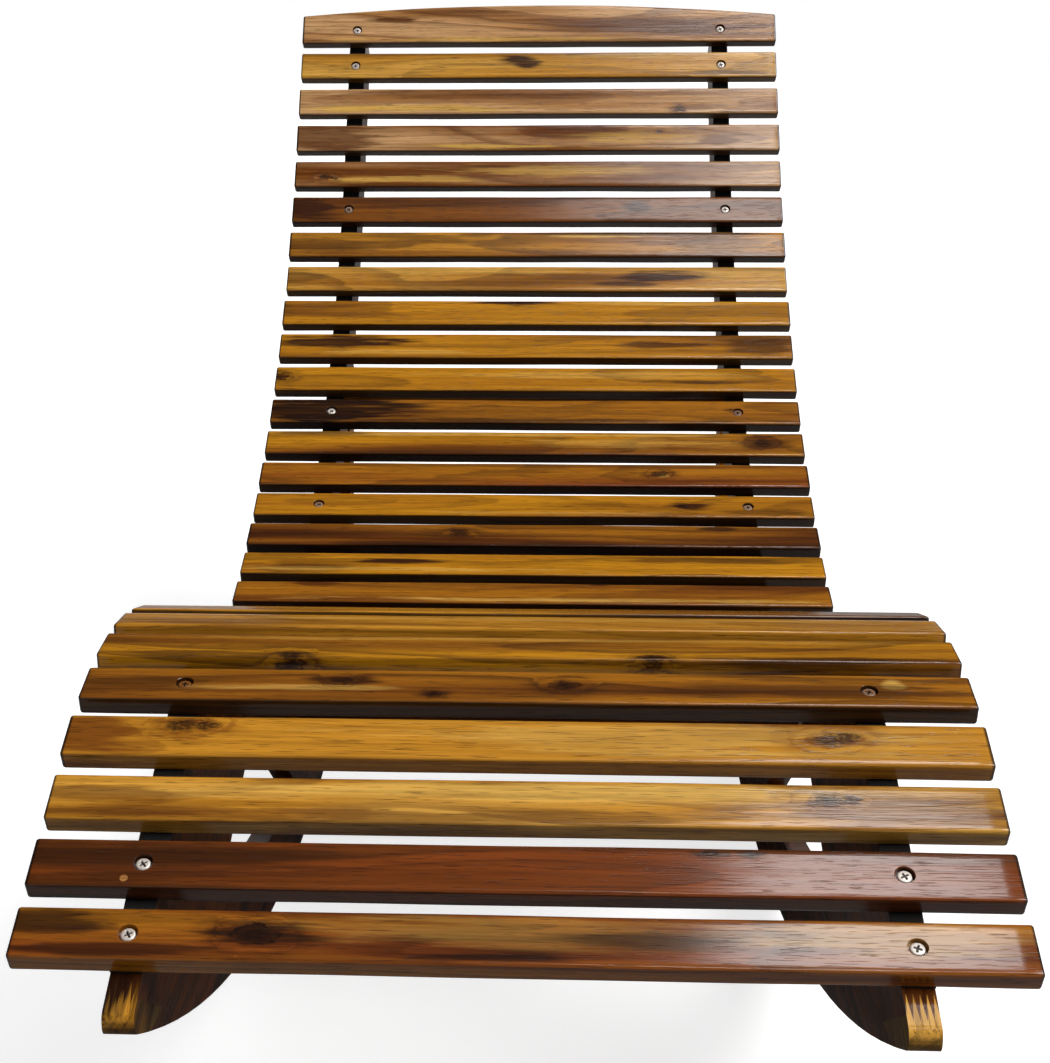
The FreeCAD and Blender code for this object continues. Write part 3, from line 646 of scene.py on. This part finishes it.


# Every slat's finish: three tones from pale to dark, the streaks' strength, knots (x, y, size),
# stains and lights, which are dark and pale patches (x, y, half length, half height, amount),
# and edge, how much painted shade darkens the narrow faces. Lengths are in millimetres.
SLAT_LOOKS = {
    34: dict(tones=("sand", "tan", "chestnut"), streak=0.9,
             stains=((-181, 15, 36, 5, 0.85), (60, 12, 110, 4, 0.5)),
             lights=((-60, -14, 190, 3.5, 0.75),), edge=0.85),
    33: dict(tones=("straw", "gold", "dark"), streak=0.5,
             stains=((-28, 8, 30, 7, 1.0), (-14, 1, 20, 8, 1.0), (240, -12, 60, 4, 0.6)),
             lights=((100, 12, 80, 4, 0.5),), edge=0.85),
    32: dict(tones=("sand", "tan", "chestnut"), streak=0.6,
             knots=((177, -11, 4),),
             stains=((0, 12, 330, 8, 0.45), (190, -10, 40, 5, 0.6)),
             lights=((-150, -10, 170, 6, 0.9),), edge=0.85),
    31: dict(tones=("sand", "brown", "chestnut"), streak=0.8,
             knots=((152, 8, 2),),
             stains=((225, -3, 30, 8, 0.7), (-270, 0, 90, 24, 0.8)),
             lights=((-60, -12, 110, 4, 0.8), (120, 0, 90, 9, 0.5)), edge=0.85),
    30: dict(tones=("sand", "brown", "chestnut"), streak=0.8,
             knots=((-262, -4, 5), (-250, -6, 3)),
             stains=((230, 8, 80, 8, 0.5),),
             lights=((-150, -8, 110, 6, 0.7), (20, 4, 130, 9, 0.6)), edge=0.85),
    29: dict(tones=("brown", "chestnut", "dark"), streak=0.8,
             stains=((-284, 0, 44, 20, 0.95), (122, 3, 20, 8, 0.9), (-120, 8, 160, 8, 0.5)),
             edge=0.85),
    28: dict(tones=("gold", "brown", "dark"), streak=0.9,
             stains=((120, 15, 170, 3, 0.85), (-270, 0, 90, 14, 0.5), (210, 0, 90, 12, 0.5)),
             lights=((70, 12, 60, 4, 0.9),), edge=0.85),
    27: dict(tones=("straw", "honey", "dark"), streak=0.7,
             stains=((150, 2, 62, 9, 0.95), (110, -8, 50, 4, 0.8), (-290, 0, 40, 14, 0.5)),
             lights=((215, 4, 32, 8, 0.4), (-60, 10, 150, 5, 0.4)), edge=0.85),
    26: dict(tones=("amber", "honey", "dark"), streak=0.6,
             knots=((-20, 15, 3),),
             stains=((-20, 15, 52, 4, 1.0), (150, -12, 60, 4, 0.4)),
             lights=((140, 14, 110, 3, 0.5),), edge=0.85),
    25: dict(tones=("amber", "honey", "dark"), streak=0.5,
             stains=((-232, 5, 90, 11, 1.0), (150, 2, 62, 6, 0.8), (268, 0, 50, 14, 0.7)),
             lights=((-150, -10, 90, 5, 0.5),), edge=0.85),
    24: dict(tones=("amber", "honey", "dark"), streak=0.7,
             knots=((-296, 2, 6),),
             stains=((180, -4, 60, 4, 0.7),),
             lights=((60, 6, 180, 6, 0.45),), edge=0.85),
    23: dict(tones=("honey", "brown", "ink"), streak=0.6,
             knots=((222, 4, 2),),
             stains=((-240, 0, 130, 28, 0.95), (0, -15, 300, 4, 0.7)), edge=0.9),
    22: dict(tones=("amber", "brown", "dark"), streak=0.7,
             knots=((253, 2, 7),),
             stains=((262, 0, 36, 9, 0.7), (-240, 14, 60, 4, 0.7)),
             lights=((-60, 13, 260, 3, 0.6), (120, 0, 130, 9, 0.3)), edge=0.9),
    21: dict(tones=("honey", "red", "dark"), streak=0.7,
             knots=((139, 2, 5),),
             stains=((0, 14, 330, 4, 0.5),),
             lights=((141, -1, 9, 3, 0.95),), edge=0.9),
    20: dict(tones=("amber", "honey", "dark"), streak=0.5,
             knots=((160, -1, 4),),
             stains=((168, -2, 26, 8, 1.0), (250, -10, 60, 5, 0.6)),
             lights=((30, -13, 200, 3, 0.3),), edge=0.9),
    19: dict(tones=("honey", "chestnut", "dark"), streak=0.9,
             knots=((-75, 3, 6),),
             stains=((-80, 4, 46, 7, 0.5), (197, 13, 20, 4, 0.9)), edge=0.9),
    18: dict(tones=("amber", "honey", "dark"), streak=0.8,
             stains=((-135, 3, 54, 5, 1.0), (180, 8, 120, 5, 0.65), (-230, -6, 60, 4, 0.5)),
             lights=((-140, -10, 220, 4, 0.5),), edge=0.9),
    17: dict(tones=("honey", "brown", "chestnut"), streak=0.7,
             stains=((-217, 13, 28, 5, 1.0), (67, 15, 14, 3, 1.0), (0, 12, 330, 5, 0.4)),
             lights=((60, -12, 280, 4, 0.6),), edge=0.9),
    7: dict(tones=("gold", "gold", "chestnut"), streak=0.6,
            stains=((-150, -9, 200, 5, 0.5),),
            lights=((0, 8, 260, 5, 0.5),), edge=0.1),
    6: dict(tones=("amber", "brown", "dark"), streak=0.9,
            knots=((-163, -15, 6), (88, -15, 5)),
            stains=((-200, -15, 110, 4, 0.7), (190, -15, 110, 5, 0.8)),
            lights=((0, 12, 260, 3, 0.3),), edge=0.0),
    5: dict(tones=("honey", "brown", "dark"), streak=1.0,
            knots=((-123, 4, 5), (27, 2, 6), (-60, -10, 3)),
            stains=((-120, 4, 28, 6, 0.9), (190, -2, 110, 10, 0.6), (-260, 0, 50, 10, 0.4)),
            lights=((247, 6, 8, 6, 0.9), (-150, -4, 90, 4, 0.5)), edge=0.85),
    4: dict(tones=("gold", "gold", "brown"), streak=0.8,
            knots=((-224, 9, 8), (-208, 10, 6), (197, 3, 8), (209, 6, 6)),
            stains=((-222, 8, 34, 6, 0.5), (-288, 0, 40, 24, 1.0)),
            lights=((90, 4, 200, 12, 0.5), (120, -10, 160, 4, 0.5)), edge=0.3),
    3: dict(tones=("straw", "gold", "chestnut"), streak=0.7,
            knots=((190, 5, 7), (205, 6, 4)),
            stains=((-60, -13, 230, 8, 0.6), (240, -4, 130, 14, 0.7), (-270, 2, 60, 9, 0.6)),
            lights=((30, 9, 190, 8, 0.85), (-180, 4, 90, 6, 0.4)), edge=0.3),
    2: dict(tones=("red", "chestnut", "dark"), streak=0.7,
            knots=((115, 14, 3), (139, 14, 2)),
            stains=((-230, 2, 130, 16, 0.6),), edge=0.45),
    1: dict(tones=("honey", "red", "ink"), streak=0.6,
            knots=((-155, 0, 8),),
            stains=((-150, -1, 46, 8, 0.85), (-10, -12, 56, 5, 0.85), (73, 1, 56, 7, 0.75),
                    (-285, 8, 50, 12, 0.8), (-240, -12, 90, 5, 0.7)),
            lights=((220, 4, 100, 12, 0.35), (0, 5, 140, 14, 0.25)), edge=0.35),
}
PLAIN = dict(tones=("gold", "brown", "dark"), streak=0.6, edge=0.85)


def dress_slats():
    """Every slat has its own seed, its pith above or below it, and its own ring width."""
    for number in range(1, SLAT_COUNT + 1):
        piece = make_slat(number)
        seed = float(rng.uniform(1, 90))
        pith = (float(rng.uniform(-0.02, 0.02)), float(rng.uniform(-0.06, -0.02)))
        if rng.random() < 0.5:
            pith = (pith[0], THICKNESS - pith[1])
        ring = float(rng.uniform(0.006, 0.011))
        finish = wood("acacia slat %02d" % number, slat_place(number), seed=seed, pith=pith,
                      ring=ring, half=LENGTH / 2, **SLAT_LOOKS.get(number, PLAIN))
        piece.data.materials.clear()
        piece.data.materials.append(finish)


def make_screws(steel):
    """Pan-head screws. A head is a dome that ends in a rounded rim, and a cross is pressed into
    it: the surface drops where a point is near one arm's line and within its length. The
    attribute recess_and_shade says how far it has dropped, and the steel paints shade there;
    oiled says how brown the head is."""
    dome_rings, around = 19, 64
    bend = np.linspace(0, math.pi / 2, 6)[1:]
    rim = HEAD_RADIUS - HEAD_RIM
    radii = np.concatenate([np.linspace(0.0001, rim, dome_rings), rim + HEAD_RIM * np.sin(bend),
                            [HEAD_RADIUS, SHANK_RADIUS, SHANK_RADIUS]])
    heights = np.concatenate([HEAD_TOP - HEAD_DOME * (np.linspace(0, 1, dome_rings))**2,
                              HEAD_TOP - HEAD_DOME - HEAD_RIM * (1 - np.cos(bend)),
                              [SCREW_SEAT, SCREW_SEAT, SCREW_SEAT - SHANK]])
    angles = np.linspace(0, 2 * math.pi, around, endpoint=False)
    x, y = radii[:, None] * np.cos(angles), radii[:, None] * np.sin(angles)

    def arm(near, along):
        side = np.clip((CROSS_HALF_WIDTH - np.abs(near)) / CROSS_FLANK, 0, 1)
        return side * np.clip((CROSS_HALF_LENGTH - np.abs(along)) / CROSS_END, 0, 1)

    recess_and_shade = np.maximum(arm(x, y), arm(y, x))
    recess_and_shade[dome_rings:] = 0
    z = heights[:, None] - CROSS_DEPTH * recess_and_shade
    faces = tube_faces(*x.shape)
    points, marks, oils, every = [], [], [], []
    for number in SCREWED:
        for side in (-1, 1):
            spin = rng.uniform(0, math.pi / 2)
            shape = np.stack([x * math.cos(spin) - y * math.sin(spin) + side * STRAP_X,
                              x * math.sin(spin) + y * math.cos(spin), z], -1).reshape(-1, 3)
            every += [[corner + len(points) * x.size for corner in face[::-1]] for face in faces]
            points.append(placed(shape, slat_place(number)))
            marks.append(recess_and_shade.ravel())
            oils.append(np.full(x.size, OILED.get(number * side, 0.0)))
    piece = make_piece("mat_screws", np.concatenate(points), every)
    for name, values in (("recess_and_shade", marks), ("oiled", oils)):
        made = piece.data.attributes.new(name, "FLOAT", "POINT")
        made.data.foreach_set("value", np.concatenate(values).astype(np.float32))
    smooth_edges(piece.data, 50)
    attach(piece, "root")
    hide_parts("slat_screws")
    piece.data.materials.append(steel)


def middle_of(node):
    """The move from the origin to the middle of a CAD node's box."""
    low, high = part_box(node)
    return Matrix.Translation((low + high) / 2)


def board_frame(node, angle):
    """A board's own frame: x along its grain in the YZ plane, z across the lounge."""
    along = Vector((0, math.cos(angle), math.sin(angle)))
    up = Vector((0, -math.sin(angle), math.cos(angle)))
    turned = Matrix((along, up, along.cross(up))).transposed().to_4x4()
    return middle_of(node) @ turned


# Every board's slope in degrees, its tones and its streaks' strength
FRAME_LOOKS = {
    "toe_block": (26.2, ("straw", "gold", "brown"), 0.6),
    "foot_board": (16, ("chestnut", "dark", "ink"), 0.9),
    "seat_rail": (-22, ("chestnut", "dark", "ink"), 0.8),
    "back_rail": (36, ("chestnut", "dark", "ink"), 0.8),
    "rocker": (0, ("chestnut", "dark", "ink"), 0.9),
    "strut": (78, ("honey", "chestnut", "dark"), 0.8),
}


def dress_frame():
    """The CAD's own boards and metal. A toe block's top face is pale and its other faces are
    darkened by painted shade, and on the left one's outer side a dark wedge runs down from the
    top."""
    matt = 0.25
    for stem, (degrees, tones, streak) in FRAME_LOOKS.items():
        for side in ("left", "right"):
            name = stem + "_" + side
            matrix = board_frame(name, math.radians(degrees))
            pith = (float(rng.uniform(-0.05, 0.05)), float(rng.uniform(0.02, 0.05)))
            stains, edge, face = (), 0.0, None
            if stem == "toe_block":
                # Painted shade on every face of a toe block but its top
                face, edge = Vector((0, -math.sin(FOOT_RISE), math.cos(FOOT_RISE))), 0.8
            # A dark wedge on the left toe block's outer side, running down from the top
            if name == "toe_block_left":
                stains, tones = ((0, 34, 46, 60, 1.0, -11, 27),), (*tones[:2], "ink")
            finish = wood("acacia " + name, matrix, tones, float(rng.uniform(1, 90)), pith,
                          ring=0.009, streak=streak, stains=stains, edge=edge, face=face,
                          coat=matt)
            dress(name, finish)
    for name in ("knee_stretcher", "seat_stretcher", "back_stretcher", "rear_stretcher"):
        finish = wood("acacia " + name, middle_of(name), ("honey", "chestnut", "dark"),
                      float(rng.uniform(1, 90)), (0.03, -0.04), ring=0.008, streak=0.8, coat=matt)
        dress(name, finish)
    for name in ("frame_dowels", "wood_plug"):
        finish = wood("dowel " + name, middle_of(name), ("tan", "brown", "dark"), 11.0,
                      (0.01, -0.02), ring=0.003, streak=0.5)
        dress(name, finish)
    steel = zinc_steel()
    for name in ("strap_staples", "stretcher_bolts", "landing_bolts", "barrel_nuts"):
        dress(name, steel)
    make_screws(steel)


def dress(name, finish):
    """Give a CAD node one new material."""
    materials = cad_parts[name].data.materials
    materials.clear()
    materials.append(finish)


# Floor, light and camera

def make_floor():
    """A plain pale floor, whose colour for the camera is raised to white where no shadow
    falls."""
    reach = 40.0
    corners = np.array([[-reach, -reach, 0], [reach, -reach, 0], [reach, reach, 0],
                        [-reach, reach, 0]])
    floor = make_piece("floor", corners, [[0, 1, 2, 3]])
    material, t = new_material("pale floor")
    bounced, seen, lift = (0.33, 0.32, 0.31, 1), (0.60, 0.59, 0.58, 1), 0.76
    camera_ray = add(t, "ShaderNodeLightPath").outputs["Is Camera Ray"]
    paint = blend_colours(t, camera_ray, bounced, seen)
    matt = add(t, "ShaderNodeBsdfDiffuse", {"Color": paint})
    glow = add(t, "ShaderNodeEmission", {"Color": (1, 1, 1, 1),
                                         "Strength": calc(t, "MULTIPLY", camera_ray, lift)})
    both = add(t, "ShaderNodeAddShader", {0: matt.outputs[0], 1: glow.outputs[0]})
    add(t, "ShaderNodeOutputMaterial", {"Surface": both.outputs[0]})
    floor.data.materials.append(material)


def make_lamp(name, kind, place, size, energy, on_matt=True):
    """A sun stands in a direction and is so many degrees wide. An area lamp is a disc at a
    place, so many metres wide, and faces the right toe. A lamp that doesn't light matt surfaces
    is a gleam, which only glossy ones show."""
    light = bpy.data.lights.new(name, kind)
    light.energy = energy
    lamp = bpy.data.objects.new(name, light)
    if kind == "SUN":
        light.angle = math.radians(size)
        facing = Vector(place)
    else:
        light.shape, light.size = "DISK", size
        lamp.location = place
        toe = Vector((STRAP_X, SHIFT_Y - FRONT_REACH, 0.25))
        facing = Vector(place) - toe
    lamp.rotation_mode = "QUATERNION"
    lamp.rotation_quaternion = facing.to_track_quat("Z", "Y")
    lamp.visible_diffuse = on_matt
    bpy.context.scene.collection.objects.link(lamp)


def make_light():
    """A broad window light from the upper right, two gleams, and a dim room round them. The
    world is white to the camera and, near the horizon, to reflections."""
    make_lamp("window light", "SUN", (0.62, -0.22, 0.75), 36, 2.7)
    make_lamp("gleam on the back", "SUN", (0.155, -0.30, 0.94), 16, 0.40, False)
    make_lamp("gleam on the foot", "AREA", (0.56, -0.42, 2.19), 0.52, 6.0, False)
    world = bpy.data.worlds.new("room")
    bpy.context.scene.world = world
    world.use_nodes = True
    t = world.node_tree
    t.nodes.clear()
    rays = add(t, "ShaderNodeLightPath").outputs
    height = add(t, "ShaderNodeSeparateXYZ",
                 {0: add(t, "ShaderNodeTexCoord").outputs["Generated"]}).outputs[2]
    horizon = (0.03, 0.10)
    low = ramp(t, height, *horizon, 1.0, 0.0)
    mirrored = calc(t, "MULTIPLY", calc(t, "MAXIMUM", rays["Is Glossy Ray"],
                                        rays["Is Transmission Ray"]), low)
    shown = calc(t, "MAXIMUM", rays["Is Camera Ray"], mirrored)
    matt_room, glossy_room = (0.26, 0.265, 0.275, 1), (0.022, 0.021, 0.020, 1)
    room = blend_colours(t, rays["Is Glossy Ray"], matt_room, glossy_room)
    colour = blend_colours(t, shown, room, (1, 1, 1, 1))
    back = add(t, "ShaderNodeBackground", {"Color": colour, "Strength": 1.0})
    add(t, "ShaderNodeOutputWorld", {"Surface": back.outputs[0]})


def make_camera():
    """The photograph's camera: 1050 by 1063 pixels, focal length 1773 pixels, aimed 15.5 degrees
    down and a little to the left, with its middle off the optical axis."""
    focal, long_side, offset, sensor = 1773.0, 1063.0, 61.3, 36.0
    standpoint = (0.0125, -1.6497, 0.7537)
    pitch, yaw, roll = (math.radians(a) for a in (15.5, -2.68, -0.26))
    ahead = Vector((math.sin(yaw) * math.cos(pitch), math.cos(yaw) * math.cos(pitch),
                    -math.sin(pitch)))
    right = Vector((math.cos(yaw), -math.sin(yaw), 0))
    up = right.cross(ahead)
    level_right = right * math.cos(roll) + up * math.sin(roll)
    level_up = up * math.cos(roll) - right * math.sin(roll)
    data = bpy.data.cameras.new("camera")
    data.sensor_width = sensor
    data.lens = sensor * focal / long_side
    data.shift_x = offset / long_side
    camera = bpy.data.objects.new("camera", data)
    axes = Matrix((level_right, level_up, -ahead)).transposed().to_4x4()
    camera.matrix_world = Matrix.Translation(standpoint) @ axes
    bpy.context.scene.collection.objects.link(camera)
    bpy.context.scene.camera = camera


make_camera()
make_floor()
make_light()
dress_slats()
dress_frame()
for strap_side, strap_sign in (("left", -1), ("right", 1)):
    make_strap(strap_side, strap_sign)
bpy.context.scene.view_settings.view_transform = "Standard"
